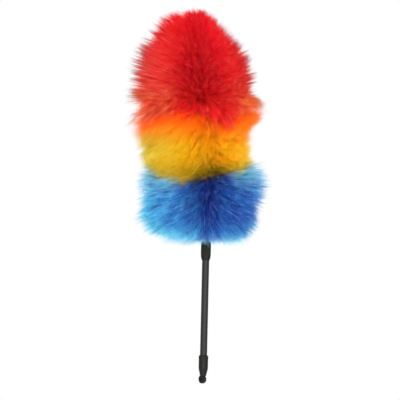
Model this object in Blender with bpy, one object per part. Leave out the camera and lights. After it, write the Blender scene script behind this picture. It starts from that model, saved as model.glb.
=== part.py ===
"""A static duster: a fluffy head in three colours on a twisted wire core, carried by a telescopic
handle with a twist-lock collar and a swivelling hanging eye.

Metres, +Z up along the handle towards the head. The origin is on the handle's axis, at the middle
of the grip. The hole of the hanging eye runs along Y.
"""
import math
import random

import bmesh
import bpy
from mathutils import Matrix, Vector

# Clearances
GAP = 0.0003  # between neighbouring pieces
BUSH_PLAY = 0.00015  # round the slide bush in the outer tube
STOP_PLAY = 0.0005  # left at the full reach of the telescope
REST_CLEARANCE = 0.024  # under the slide bush when the handle is closed

# Outer tube
TUBE_R = 0.0057
TUBE_WALL = 0.0008
GRIP_LENGTH = 0.152  # bare tube between the ferrule and the end cap
TUBE_SEAT = 0.014  # depth of the tube in the end cap

# Inner tube and its slide bush
INNER_R = 0.0042
INNER_WALL = 0.0007
BUSH_LENGTH = 0.008
BUSH_STEM = 0.010
BUSH_VENT_R = 0.0012

# Lock ferrule, pressed on the outer tube, with collet fingers round the inner tube
FERRULE_SEAT = 0.018  # depth of the tube in the ferrule
SKIRT_HEIGHT = 0.0064
SKIRT_BAND = 0.0012  # straight band over the skirt's cone
SKIRT_LIP_WALL = 0.0004
SKIRT_WALL = 0.0018
SPIGOT_WALL = 0.0008
COLLET_LENGTH = 0.0075
COLLET_NOSE = 0.0045
COLLET_TIP_WALL = 0.0009
COLLET_ROOT = 0.0015
COLLET_CUTS = 3
COLLET_CUT_WIDTH = 0.0008

# Lock nut, a ribbed collar that squeezes the collet
NUT_WALL = 0.0005
NUT_TOP_WALL = 0.0046
NUT_CHAMFER = 0.0010
RIB_DEPTH = 0.0004
RIB_COUNT = 20

# End cap
CAP_R = 0.0075
CAP_LENGTH = 0.0304
CAP_BEAD = 0.00025
CAP_BEAD_HEIGHT = 0.0060
CAP_TAPER = 0.0096
CAP_NECK_R = 0.0056
CAP_CAVITY_R = 0.0045
CAP_FLOOR = 0.0035

# Hanging eye
EYE_R = 0.00675
EYE_HOLE_R = 0.0033
EYE_THICKNESS = 0.0062
EYE_ROUNDING = 0.0010
EYE_OFFSET = 0.0015  # the ring hangs a little to one side of the axis
EYE_DROP = 0.0083  # from the end cap's neck down to the middle of the ring
SHOULDER_R = 0.0052
SHOULDER_HEIGHT = 0.0018
STEM_R = 0.0020
SNAP_R = 0.0030
SNAP_HEIGHT = 0.0040

# Core wire, folded in half at the tip and twisted
WIRE_R = 0.0009
WIRE_SPACE = 0.0006  # between the two legs
TWIST_PITCH = 0.040
TWIST_STEPS = 9  # points in a turn
FOLD_STEPS = 6

# Head socket, the plug that joins the wire to the inner tube
SOCKET_FLANGE_R = 0.0052
SOCKET_FLANGE = 0.0030
SOCKET_CONE = 0.0075
SOCKET_CONE_R = 0.0044
SOCKET_TOP_R = 0.0034
SOCKET_PLUG = 0.0120
WIRE_END = 0.0010  # from the plug's lower face up to the wire's ends

# Tip cap over the wire's fold
TIP_R = 0.0042
TIP_HEIGHT = 0.0120
TIP_TOP_WALL = 0.0020
TIP_ROUNDING = 0.0018

# Pile: its greatest reach from the core, and three sections along the core. Each section has the
# length of its core and stations along its outline: the rise of the tips as a share of that length,
# then the shares of the reach on the fuller and on the slimmer side
FULLER_REACH = 0.122
SLIMMER_REACH = 0.103
BLUE_LENGTH = 0.0880
BLUE_STATIONS = [
    (-0.13, 0.12, 0.12),
    (-0.14, 0.55, 0.59),
    (-0.04, 0.78, 0.76),
    (0.10, 0.89, 0.84),
    (0.24, 0.95, 0.86),
    (0.45, 0.92, 0.91),
    (0.60, 0.90, 0.97),
    (0.78, 0.91, 1.00),
    (0.96, 0.88, 0.94),
]
BLUE_ROWS = 7
YELLOW_LENGTH = 0.0925
YELLOW_STATIONS = [
    (0.05, 0.87, 0.90),
    (0.22, 0.89, 0.88),
    (0.42, 0.88, 0.79),
    (0.72, 0.95, 0.80),
    (0.94, 0.99, 0.90),
]
YELLOW_ROWS = 4
RED_LENGTH = 0.1630
RED_STATIONS = [
    (0.02, 0.99, 0.95),
    (0.12, 0.98, 0.99),
    (0.29, 0.99, 0.87),
    (0.50, 0.96, 0.85),
    (0.60, 0.91, 0.82),
    (0.70, 0.84, 0.75),
    (0.80, 0.74, 0.63),
    (0.90, 0.66, 0.48),
    (0.99, 0.55, 0.33),
    (1.06, 0.42, 0.20),
    (1.11, 0.26, 0.09),
]
RED_ROWS = 9
TUFT_COLUMNS = 24
BACKING_SHARE = 0.52  # of each strand's reach is dense backing
TUFT_WAIST = 0.55  # of the free length, where a tuft is
TUFT_WAIST_SIZE = 0.62  # of the size of its root
TUFT_SHORTEST = 0.78
TUFT_STAGGER = 0.16  # of a cell, up in one column and down in the next
TUFT_SCATTER = 0.16  # of a cell, how far a tip strays from the middle
ROOT_SCATTER = 0.22  # of a cell, how far the corners of a root stray
HUB_MARGIN = 0.0008
BORE_STEP = 0.030
LOWER_BORDER_FRONT = -0.006  # rise of the tips where blue meets yellow, at front and back
LOWER_BORDER_SIDE = 0.012  # and at the two sides
UPPER_BORDER_FRONT = 0.002  # the same where yellow meets red
UPPER_BORDER_SIDE = -0.018
CORE_DRIFT = 0.0205  # the core leans this far towards its fuller side by the tip
DRIFT_POWER = 1.2
FULLER_TURN = math.radians(230)  # azimuth of the fuller side

ROUND_STEPS = 40

# Radii worked out from the sizes above
TUBE_BORE_R = TUBE_R - TUBE_WALL
SEAT_R = TUBE_R + GAP
INNER_BORE_R = INNER_R - INNER_WALL
SLIDE_HOLE_R = INNER_R + GAP
SPIGOT_R = SEAT_R + SPIGOT_WALL
COLLET_TIP_R = SLIDE_HOLE_R + COLLET_TIP_WALL
NUT_BORE_R = SPIGOT_R + GAP
NUT_ROOT_R = NUT_BORE_R + NUT_WALL
NUT_R = NUT_ROOT_R + RIB_DEPTH
BUSH_R = TUBE_BORE_R - BUSH_PLAY
PLUG_R = INNER_BORE_R - GAP
TWIST_R = WIRE_R + WIRE_SPACE / 2
WIRE_HOLE_R = TWIST_R + WIRE_R + GAP
TIP_HOLE_R = TIP_R + GAP

# Heights worked out from the sizes above, from the bottom up
CAP_MOUTH_Z = -GRIP_LENGTH / 2
CAP_BOTTOM_Z = CAP_MOUTH_Z - CAP_LENGTH
CAP_FLOOR_Z = CAP_BOTTOM_Z + CAP_FLOOR
TUBE_BOTTOM_Z = CAP_MOUTH_Z - TUBE_SEAT
EYE_Z = CAP_BOTTOM_Z - EYE_DROP
SHOULDER_TOP_Z = CAP_BOTTOM_Z - GAP
SNAP_BOTTOM_Z = CAP_FLOOR_Z + GAP
SNAP_TOP_Z = SNAP_BOTTOM_Z + SNAP_HEIGHT
BUSH_BOTTOM_Z = SNAP_TOP_Z + REST_CLEARANCE
BUSH_TOP_Z = BUSH_BOTTOM_Z + BUSH_LENGTH
INNER_BOTTOM_Z = BUSH_TOP_Z + GAP
FERRULE_Z = GRIP_LENGTH / 2
SKIRT_TOP_Z = FERRULE_Z + SKIRT_HEIGHT
FERRULE_STOP_Z = FERRULE_Z + FERRULE_SEAT
TUBE_TOP_Z = FERRULE_STOP_Z - GAP
COLLET_TOP_Z = FERRULE_STOP_Z + COLLET_LENGTH
COLLET_NOSE_Z = COLLET_TOP_Z - COLLET_NOSE
NUT_BOTTOM_Z = SKIRT_TOP_Z + GAP
NUT_TOP_Z = COLLET_TOP_Z + GAP + NUT_TOP_WALL
INNER_TOP_Z = NUT_TOP_Z
FLANGE_Z = NUT_TOP_Z + GAP
SOCKET_TOP_Z = FLANGE_Z + SOCKET_FLANGE + SOCKET_CONE
PLUG_BOTTOM_Z = FLANGE_Z - SOCKET_PLUG
BLUE_Z = SOCKET_TOP_Z + GAP
YELLOW_Z = BLUE_Z + BLUE_LENGTH + GAP
RED_Z = YELLOW_Z + YELLOW_LENGTH + GAP
CORE_TOP_Z = RED_Z + RED_LENGTH
TIP_TOP_Z = CORE_TOP_Z + TIP_HEIGHT / 2
TIP_BOTTOM_Z = TIP_TOP_Z - TIP_HEIGHT
FOLD_Z = TIP_TOP_Z - TIP_TOP_WALL - GAP - WIRE_R - TWIST_R

FULLER_SIDE = Vector((math.cos(FULLER_TURN), math.sin(FULLER_TURN), 0.0))


def material(name, colour, roughness, metallic=0.0):
    """A plain surface of one colour."""
    made = bpy.data.materials.get(name) or bpy.data.materials.new(name)
    made.use_nodes = True
    shader = made.node_tree.nodes["Principled BSDF"]
    shader.inputs["Base Color"].default_value = (*colour, 1.0)
    shader.inputs["Roughness"].default_value = roughness
    shader.inputs["Metallic"].default_value = metallic
    return made


def black_plastic():
    return material("black_plastic", (0.018, 0.018, 0.020), 0.38)


def black_tube():
    return material("black_tube", (0.024, 0.024, 0.026), 0.30)


def add_object(name, data, surface):
    """Put an object with one material into the scene."""
    made = bpy.data.objects.new(name, data)
    data.materials.append(surface)
    bpy.context.scene.collection.objects.link(made)
    return made


def add_mesh(name, bm, surface, smooth=True):
    """Turn an edited mesh into an object, its faces pointing out."""
    bmesh.ops.recalc_face_normals(bm, faces=bm.faces)
    mesh = bpy.data.meshes.new(name)
    bm.to_mesh(mesh)
    bm.free()
    if smooth:
        mesh.shade_smooth()
        mesh.set_sharp_from_angle(angle=math.radians(35))
    return add_object(name, mesh, surface)


def turned(profile, steps=ROUND_STEPS, on_axis=False):
    """A profile of (radius, height) points spun round +Z. One that is on the axis starts and ends there."""
    bm = bmesh.new()
    points = [bm.verts.new((radius, 0.0, height)) for radius, height in profile]
    pairs = list(zip(points, points[1:]))
    if not on_axis:
        pairs.append((points[-1], points[0]))
    edges = [bm.edges.new(pair) for pair in pairs]
    bmesh.ops.spin(
        bm, geom=points + edges, axis=(0, 0, 1), cent=(0, 0, 0), angle=math.tau, steps=steps, use_merge=True
    )
    bmesh.ops.remove_doubles(bm, verts=bm.verts, dist=1e-7)
    return bm


def box(size, centre):
    """A plain box, used as a cutter."""
    bm = bmesh.new()
    bmesh.ops.create_cube(bm, size=1.0, matrix=Matrix.Translation(centre) @ Matrix.Diagonal((*size, 1.0)))
    return bm


def arc(centre, radius, start, end, steps):
    """Points of an arc in a profile, from one angle in degrees to another."""
    angles = [math.radians(start + (end - start) * i / steps) for i in range(steps + 1)]
    return [(centre[0] + radius * math.cos(a), centre[1] + radius * math.sin(a)) for a in angles]


def combine(target, tool, operation):
    """Cut a hidden tool out of an object, or join it on."""
    tool.hide_render = True
    tool.display_type = "WIRE"
    cut = target.modifiers.new(tool.name, "BOOLEAN")
    cut.operation = operation
    cut.object = tool
    cut.solver = "EXACT"


def drift(height):
    """How far the core has leaned towards its fuller side at a height."""
    share = max(0.0, (height - SOCKET_TOP_Z) / (TIP_TOP_Z - SOCKET_TOP_Z))
    return FULLER_SIDE * CORE_DRIFT * share**DRIFT_POWER


def lean(bm):
    """Shift every point sideways by the lean of the core at its height."""
    for vert in bm.verts:
        vert.co += drift(vert.co.z)


def outer_tube():
    """The tube that the hand holds."""
    edge = TUBE_WALL / 4
    profile = [
        (TUBE_BORE_R, TUBE_BOTTOM_Z),
        (TUBE_R - edge, TUBE_BOTTOM_Z),
        (TUBE_R, TUBE_BOTTOM_Z + edge),
        (TUBE_R, TUBE_TOP_Z - edge),
        (TUBE_R - edge, TUBE_TOP_Z),
        (TUBE_BORE_R, TUBE_TOP_Z),
    ]
    add_mesh("outer_tube", turned(profile), black_tube())


def inner_tube():
    """The thinner tube that slides out of the handle with the head."""
    edge = INNER_WALL / 4
    profile = [
        (INNER_BORE_R, INNER_BOTTOM_Z),
        (INNER_R - edge, INNER_BOTTOM_Z),
        (INNER_R, INNER_BOTTOM_Z + edge),
        (INNER_R, INNER_TOP_Z - edge),
        (INNER_R - edge, INNER_TOP_Z),
        (INNER_BORE_R, INNER_TOP_Z),
    ]
    add_mesh("inner_tube", turned(profile), material("inner_black", (0.030, 0.030, 0.033), 0.26))


def slide_bush():
    """Guide and stop at the inner tube's foot: a vented plug with a collar that runs in the outer tube."""
    edge = BUSH_LENGTH / 12
    profile = [
        (BUSH_VENT_R, BUSH_BOTTOM_Z),
        (BUSH_R - edge, BUSH_BOTTOM_Z),
        (BUSH_R, BUSH_BOTTOM_Z + edge),
        (BUSH_R, BUSH_TOP_Z),
        (PLUG_R, BUSH_TOP_Z),
        (PLUG_R, BUSH_TOP_Z + BUSH_STEM - edge),
        (PLUG_R - edge, BUSH_TOP_Z + BUSH_STEM),
        (BUSH_VENT_R, BUSH_TOP_Z + BUSH_STEM),
    ]
    add_mesh("slide_bush", turned(profile), material("natural_nylon", (0.62, 0.61, 0.56), 0.45))


def lock_ferrule():
    """Sleeve on the tube's upper end: tapered skirt, spigot under the nut, and slotted collet fingers."""
    profile = [
        (SEAT_R, FERRULE_Z),
        (SEAT_R + SKIRT_LIP_WALL, FERRULE_Z),
        (SEAT_R + SKIRT_WALL, SKIRT_TOP_Z - SKIRT_BAND),
        (SEAT_R + SKIRT_WALL, SKIRT_TOP_Z),
        (SPIGOT_R, SKIRT_TOP_Z),
        (SPIGOT_R, COLLET_NOSE_Z),
        (COLLET_TIP_R, COLLET_TOP_Z),
        (SLIDE_HOLE_R, COLLET_TOP_Z),
        (SLIDE_HOLE_R, FERRULE_STOP_Z),
        (SEAT_R, FERRULE_STOP_Z),
    ]
    ferrule = add_mesh("lock_ferrule", turned(profile), black_plastic())
    low = FERRULE_STOP_Z + COLLET_ROOT
    high = COLLET_TOP_Z + COLLET_ROOT
    size = (COLLET_CUT_WIDTH, 3 * SPIGOT_R, high - low)
    for i in range(COLLET_CUTS):
        cutter = add_mesh(f"collet_cut_{i}", box(size, (0, 0, (low + high) / 2)), black_plastic(), smooth=False)
        cutter.rotation_euler.z = math.pi * (i + 0.5) / COLLET_CUTS
        combine(ferrule, cutter, "DIFFERENCE")


def lock_nut():
    """Ribbed collar over the ferrule, with a cone inside that closes the collet as it is twisted."""
    steps = 4 * RIB_COUNT
    profile = [
        (NUT_BORE_R, NUT_BOTTOM_Z),
        (NUT_ROOT_R, NUT_BOTTOM_Z),
        (NUT_R, NUT_BOTTOM_Z + NUT_CHAMFER),
        (NUT_R, NUT_TOP_Z - 2 * NUT_CHAMFER),
        (NUT_ROOT_R, NUT_TOP_Z - NUT_CHAMFER),
        (NUT_ROOT_R - NUT_CHAMFER, NUT_TOP_Z),
        (SLIDE_HOLE_R, NUT_TOP_Z),
        (SLIDE_HOLE_R, COLLET_TOP_Z + GAP),
        (COLLET_TIP_R + GAP, COLLET_TOP_Z + GAP),
        (NUT_BORE_R, COLLET_NOSE_Z + GAP),
    ]
    bm = turned(profile, steps)
    for vert in bm.verts:
        radius = vert.co.xy.length
        place = round(math.atan2(vert.co.y, vert.co.x) / math.tau * steps) % 4
        if radius > NUT_R - RIB_DEPTH / 2 and place in (2, 3):
            vert.co.xy *= NUT_ROOT_R / radius
    add_mesh("lock_nut", bm, black_plastic())


def end_cap():
    """Fitting on the tube's foot: bead, barrel and tapered neck, with a floor that holds the eye's stem."""
    bead_low = CAP_MOUTH_Z - CAP_BEAD_HEIGHT
    taper_z = CAP_BOTTOM_Z + CAP_TAPER
    taper = []
    steps = 4
    for i in range(steps + 1):
        share = i / steps
        radius = CAP_R - (CAP_R - CAP_NECK_R) * (1 - math.cos(share * math.pi)) / 2
        taper.append((radius, taper_z - (taper_z - CAP_BOTTOM_Z) * share))
    profile = [
        (SEAT_R, CAP_MOUTH_Z),
        (CAP_R - CAP_BEAD_HEIGHT / 5, CAP_MOUTH_Z),
        (CAP_R + CAP_BEAD, CAP_MOUTH_Z - CAP_BEAD_HEIGHT / 3),
        (CAP_R + CAP_BEAD, bead_low + CAP_BEAD_HEIGHT / 4),
        (CAP_R, bead_low),
        *taper,
        (STEM_R + GAP, CAP_BOTTOM_Z),
        (STEM_R + GAP, CAP_FLOOR_Z),
        (CAP_CAVITY_R, CAP_FLOOR_Z),
        (CAP_CAVITY_R, TUBE_BOTTOM_Z - GAP),
        (SEAT_R, TUBE_BOTTOM_Z - GAP),
    ]
    add_mesh("end_cap", turned(profile), black_plastic())


def eye_stem():
    """The eye's shoulder, stem and snap head, as a solid to join to the ring."""
    foot_z = EYE_Z + (EYE_HOLE_R + EYE_R) / 2
    profile = [
        (0.0, foot_z),
        (SHOULDER_R * 0.7, foot_z),
        (SHOULDER_R, SHOULDER_TOP_Z - SHOULDER_HEIGHT),
        (SHOULDER_R, SHOULDER_TOP_Z),
        (STEM_R, SHOULDER_TOP_Z),
        (STEM_R, SNAP_BOTTOM_Z),
        (SNAP_R, SNAP_BOTTOM_Z),
        (SNAP_R, SNAP_BOTTOM_Z + SNAP_HEIGHT / 4),
        (STEM_R * 0.7, SNAP_TOP_Z),
        (0.0, SNAP_TOP_Z),
    ]
    return add_mesh("eye_stem", turned(profile, on_axis=True), black_plastic())


def hang_eye():
    """Round eye that turns in the end cap's floor, with its hole along Y."""
    half = EYE_THICKNESS / 2
    middle_r = EYE_R - EYE_ROUNDING
    hole_edge = EYE_ROUNDING / 3
    profile = [
        *arc((middle_r, half - EYE_ROUNDING), EYE_ROUNDING, 90, 0, 2),
        *arc((middle_r, EYE_ROUNDING - half), EYE_ROUNDING, 0, -90, 2),
        (EYE_HOLE_R + hole_edge, -half),
        (EYE_HOLE_R, hole_edge - half),
        (EYE_HOLE_R, half - hole_edge),
        (EYE_HOLE_R + hole_edge, half),
    ]
    bm = turned(profile)
    bm.transform(Matrix.Translation((-EYE_OFFSET, 0, EYE_Z)) @ Matrix.Rotation(math.pi / 2, 4, "X"))
    eye = add_mesh("hang_eye", bm, black_plastic())
    combine(eye, eye_stem(), "UNION")


def head_socket():
    """Plug that holds the wire in the inner tube. Its flange stops on the lock nut."""
    flange_top = FLANGE_Z + SOCKET_FLANGE
    edge = SOCKET_FLANGE / 6
    profile = [
        (WIRE_HOLE_R, PLUG_BOTTOM_Z),
        (PLUG_R - edge, PLUG_BOTTOM_Z),
        (PLUG_R, PLUG_BOTTOM_Z + edge),
        (PLUG_R, FLANGE_Z),
        (SOCKET_FLANGE_R, FLANGE_Z),
        (SOCKET_FLANGE_R, flange_top - edge),
        (SOCKET_FLANGE_R - edge, flange_top),
        (SOCKET_CONE_R, flange_top),
        (SOCKET_TOP_R, SOCKET_TOP_Z),
        (WIRE_HOLE_R, SOCKET_TOP_Z),
    ]
    add_mesh("head_socket", turned(profile), black_plastic())


def twist_point(height, leg):
    """Middle of one leg of the twisted wire at a height."""
    angle = math.tau * (height - FOLD_Z) / TWIST_PITCH + math.pi * leg
    around = Vector((math.cos(angle), math.sin(angle), 0.0)) * TWIST_R
    return around + Vector((0, 0, height)) + drift(height)


def core_wire():
    """One wire, folded at the tip and twisted down to the socket."""
    low = PLUG_BOTTOM_Z + WIRE_END
    count = math.ceil((FOLD_Z - low) / TWIST_PITCH * TWIST_STEPS)
    heights = [low + (FOLD_Z - low) * i / count for i in range(count + 1)]
    up = [twist_point(height, 0) for height in heights]
    down = [twist_point(height, 1) for height in heights]
    fold = []
    for i in range(1, FOLD_STEPS):
        angle = math.pi * i / FOLD_STEPS
        height = FOLD_Z + TWIST_R * math.sin(angle)
        fold.append(Vector((TWIST_R * math.cos(angle), 0, height)) + drift(height))
    least = min((a - b).length for a, b in zip(up, down)) - 2 * WIRE_R
    print(f"core_wire: least gap between its legs {least * 1000:.2f} mm")
    route = up + fold + down[::-1]
    curve = bpy.data.curves.new("core_wire", "CURVE")
    curve.dimensions = "3D"
    curve.bevel_depth = WIRE_R
    curve.bevel_resolution = 1
    curve.use_fill_caps = True
    spline = curve.splines.new("POLY")
    spline.points.add(len(route) - 1)
    for point, place in zip(spline.points, route):
        point.co = (*place, 1.0)
    add_object("core_wire", curve, material("galvanised_wire", (0.55, 0.56, 0.57), 0.35, 1.0))


def tip_cap():
    """Small cap over the fold of the wire."""
    roof = TIP_TOP_Z - TIP_TOP_WALL
    profile = [
        (0.0, roof),
        (WIRE_HOLE_R, roof),
        (WIRE_HOLE_R, TIP_BOTTOM_Z),
        (TIP_R, TIP_BOTTOM_Z),
        *arc((TIP_R - TIP_ROUNDING, TIP_TOP_Z - TIP_ROUNDING), TIP_ROUNDING, 0, 90, 4),
        (0.0, TIP_TOP_Z),
    ]
    bm = turned(profile, 32, on_axis=True)
    lean(bm)
    add_mesh("tip_cap", bm, material("red_plastic", (0.55, 0.02, 0.02), 0.35))


def outline_at(section, share):
    """Height of the tips and the two reaches at a share of the way along a section's outline."""
    low, length, stations = section
    outline = [(low + length * rise, FULLER_REACH * full, SLIMMER_REACH * slim) for rise, full, slim in stations]
    steps = [0.0]
    for near, far in zip(outline, outline[1:]):
        steps.append(steps[-1] + math.hypot(far[0] - near[0], far[1] - near[1]))
    place = share * steps[-1]
    i = 0
    while i < len(outline) - 2 and place > steps[i + 1]:
        i += 1
    part = (place - steps[i]) / (steps[i + 1] - steps[i])
    return [a + (b - a) * part for a, b in zip(outline[i], outline[i + 1])]


def border_wave(height, azimuth):
    """How far the tips at a height are swept up or down, so that the borders between colours wave."""
    sideways = math.cos(azimuth - FULLER_TURN) ** 2
    lower = LOWER_BORDER_FRONT + (LOWER_BORDER_SIDE - LOWER_BORDER_FRONT) * sideways
    upper = UPPER_BORDER_FRONT + (UPPER_BORDER_SIDE - UPPER_BORDER_FRONT) * sideways
    knots = [(BLUE_Z, 0.0), (YELLOW_Z, lower), (RED_Z, upper), (CORE_TOP_Z, 0.0)]
    for (low, low_wave), (high, high_wave) in zip(knots, knots[1:]):
        if low <= height <= high:
            return low_wave + (high_wave - low_wave) * (height - low) / (high - low)
    return 0.0


def strand_point(section, share, azimuth, along):
    """A point along the strand that leaves the core at a share of the section's length."""
    tip, fuller, slimmer = outline_at(section, share)
    lopsided = math.cos(azimuth - FULLER_TURN)
    reach = ((fuller + slimmer) + (fuller - slimmer) * lopsided) / 2
    core = section[0] + section[1] * share
    tip += border_wave(tip, azimuth)
    height = core + (tip - core) * along
    return Vector((math.cos(azimuth) * reach * along, math.sin(azimuth) * reach * along, height))


def ring(bm, radius, height):
    """A level ring of points round the axis."""
    angles = [math.tau * i / TUFT_COLUMNS for i in range(TUFT_COLUMNS)]
    return [bm.verts.new((radius * math.cos(a), radius * math.sin(a), height)) for a in angles]


def skin(bm, lower, upper):
    """Quads between two rings."""
    quads = []
    for i in range(TUFT_COLUMNS):
        j = (i + 1) % TUFT_COLUMNS
        quads.append(bm.faces.new((lower[i], lower[j], upper[j], upper[i])))
    return quads


def root_grid(rows, chance):
    """Shares of the core and azimuths of the corners where the tufts' roots meet, strewn a little."""
    grid = []
    for row in range(rows + 1):
        stray = ROOT_SCATTER if 0 < row < rows else 0.0
        line = []
        for column in range(TUFT_COLUMNS):
            share = (row + stray * chance.uniform(-1, 1)) / rows
            azimuth = math.tau * (column + stray * chance.uniform(-1, 1)) / TUFT_COLUMNS
            line.append((share, azimuth))
        line.append((line[0][0], line[0][1] + math.tau))
        grid.append(line)
    return grid


def raise_tuft(bm, quad, section, corners, rows, stagger, chance):
    """Draw one quad of the backing out into a tapered tuft that stays inside its own cell."""
    stray_row = (stagger + TUFT_SCATTER * chance.uniform(-1, 1)) / rows
    stray_column = TUFT_SCATTER * chance.uniform(-1, 1) * math.tau / TUFT_COLUMNS
    length = chance.uniform(TUFT_SHORTEST, 1.0)
    tip_share = sum(share for share, _ in corners) / 4 + stray_row
    tip_azimuth = sum(azimuth for _, azimuth in corners) / 4 + stray_column
    waist_along = BACKING_SHARE + (1 - BACKING_SHARE) * TUFT_WAIST * length
    roots = [strand_point(section, share, azimuth, BACKING_SHARE) for share, azimuth in corners]
    raised = bmesh.ops.extrude_discrete_faces(bm, faces=[quad])["faces"][0]
    for vert in raised.verts:
        nearest = min(range(4), key=lambda i: (roots[i] - vert.co).length)
        share, azimuth = corners[nearest]
        share = tip_share + (share - tip_share) * TUFT_WAIST_SIZE
        azimuth = tip_azimuth + (azimuth - tip_azimuth) * TUFT_WAIST_SIZE
        vert.co = strand_point(section, share, azimuth, waist_along)
    point = bmesh.ops.poke(bm, faces=[raised])["verts"][0]
    reach = BACKING_SHARE + (1 - BACKING_SHARE) * length
    point.co = strand_point(section, tip_share, tip_azimuth, reach)


def pile(name, section, rows, colour, seed, hub=None, top_hole=None):
    """One colour of fibre: a dense backing round the wire, drawn out into rows of pointed tufts."""
    low, length, _ = section
    high = low + length
    chance = random.Random(seed)
    grid = root_grid(rows, chance)
    bm = bmesh.new()
    outer = [
        [bm.verts.new(strand_point(section, *corner, BACKING_SHARE)) for corner in line[:-1]] for line in grid
    ]
    inner = []
    if hub:
        inner.append(ring(bm, hub, low))
    bore_top = top_hole[1] if top_hole else high
    bore_steps = math.ceil((bore_top - low) / BORE_STEP)
    for i in range(bore_steps + 1):
        inner.append(ring(bm, WIRE_HOLE_R, low + (bore_top - low) * i / bore_steps))
    if top_hole:
        inner.append(ring(bm, top_hole[0], bore_top))
        inner.append(ring(bm, top_hole[0], high))
    loops = [outer[0], *inner, outer[-1]]
    for lower, upper in zip(loops, loops[1:]):
        skin(bm, lower, upper)
    cells = [skin(bm, lower, upper) for lower, upper in zip(outer, outer[1:])]
    for row, quads in enumerate(cells):
        for column, quad in enumerate(quads):
            lower, upper = grid[row], grid[row + 1]
            corners = [lower[column], lower[column + 1], upper[column + 1], upper[column]]
            stagger = TUFT_STAGGER if column % 2 else -TUFT_STAGGER
            raise_tuft(bm, quad, section, corners, rows, stagger, chance)
    lean(bm)
    add_mesh(name, bm, material(name, colour, 0.75), smooth=False)


def build():
    """Every piece, from the hanging eye up to the tip."""
    hang_eye()
    end_cap()
    outer_tube()
    slide_bush()
    inner_tube()
    lock_ferrule()
    lock_nut()
    head_socket()
    core_wire()
    blue = (BLUE_Z, BLUE_LENGTH, BLUE_STATIONS)
    yellow = (YELLOW_Z, YELLOW_LENGTH, YELLOW_STATIONS)
    red = (RED_Z, RED_LENGTH, RED_STATIONS)
    pile("pile_blue", blue, BLUE_ROWS, (0.02, 0.13, 0.62), 3, hub=SOCKET_TOP_R + HUB_MARGIN)
    pile("pile_yellow", yellow, YELLOW_ROWS, (1.0, 0.46, 0.02), 5)
    pile("pile_red", red, RED_ROWS, (0.80, 0.02, 0.02), 7, top_hole=(TIP_HOLE_R, TIP_BOTTOM_Z - GAP))
    tip_cap()
    travel = FERRULE_STOP_Z - BUSH_TOP_Z - STOP_PLAY
    print(f"telescope: travel {travel * 1000:.2f} mm, inner tube {(INNER_TOP_Z - INNER_BOTTOM_Z) * 1000:.1f} mm")


for old in list(bpy.data.objects):
    bpy.data.objects.remove(old, do_unlink=True)
build()
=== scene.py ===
"""Looks of a static duster: three colours of fine fibre on a twisted wire core, over a telescopic handle.

Metres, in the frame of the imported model: +Z up along the handle, the origin at the middle of the grip.
A fibre leaves the core at a share of its section's length, and its place goes from 0 at the core to 1 at
the outline. Turns round the core count from the front, the side that the camera sees, towards the slimmer
side.
"""
import math

import bpy
import numpy as np
from mathutils import Matrix, Vector


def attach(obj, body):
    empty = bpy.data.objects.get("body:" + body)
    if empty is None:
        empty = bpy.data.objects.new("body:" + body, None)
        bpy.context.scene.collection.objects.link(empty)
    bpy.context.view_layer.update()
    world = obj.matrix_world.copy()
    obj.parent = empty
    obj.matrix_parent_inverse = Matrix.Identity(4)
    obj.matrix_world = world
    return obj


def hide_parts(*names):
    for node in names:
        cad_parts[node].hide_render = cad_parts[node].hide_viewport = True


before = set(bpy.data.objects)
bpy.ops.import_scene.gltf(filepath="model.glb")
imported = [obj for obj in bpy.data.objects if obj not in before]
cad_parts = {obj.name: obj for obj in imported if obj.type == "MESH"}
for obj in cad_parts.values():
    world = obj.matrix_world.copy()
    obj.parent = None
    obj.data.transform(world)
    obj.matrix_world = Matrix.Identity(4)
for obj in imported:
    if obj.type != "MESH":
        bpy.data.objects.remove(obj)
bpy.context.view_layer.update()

# Camera
VIEW_AZIMUTH = math.radians(50)
VIEW_DISTANCE = 3.6
VIEW_ROLL = math.radians(1.3)
VIEW_END = 50
FRAME_WIDTH = 0.640  # seen at the object
VIEW_CENTRE = (-0.0113, 0.172)  # sideways from the axis, and up

# Studio: place of each light (sideways from the middle of the view, away from the camera, up), side, power
LIGHTS = {
    "key": ((-0.6, -3.1, 1.1), 1.6, 214),
    "fill": ((1.3, -2.9, -0.1), 1.6, 128),
    "rim": ((-2.4, 1.2, 1.6), 1.6, 25),
    "back": ((0.9, 3.0, 1.3), 2.0, 95),
}
WHITE = (1, 1, 1, 1)
SKY_STRENGTH = 0.92
SEEN_SKY_STRENGTH = 1.0
FLOOR_R = 4
FLOOR_Z = -0.62
FLOOR_CORNERS = 96
FLOOR_TONE = (0.9, 0.9, 0.9, 1)
FLOOR_ROUGHNESS = 0.9
FLOOR_FADE = (0.5, 2.4)  # distances where the floor starts to turn plain white, and where it is

# Head, as the solids have it: greatest reach from the core, its directions, and the core's ends and lean
FULLER_REACH = 0.122
SLIMMER_REACH = 0.103
FULLER_TURN = math.radians(230)
FRONT_TURN = math.radians(320)
SOCKET_TOP_Z = 0.1172
TIP_TOP_Z = 0.4676
CORE_DRIFT = 0.0205
DRIFT_POWER = 1.2
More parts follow.
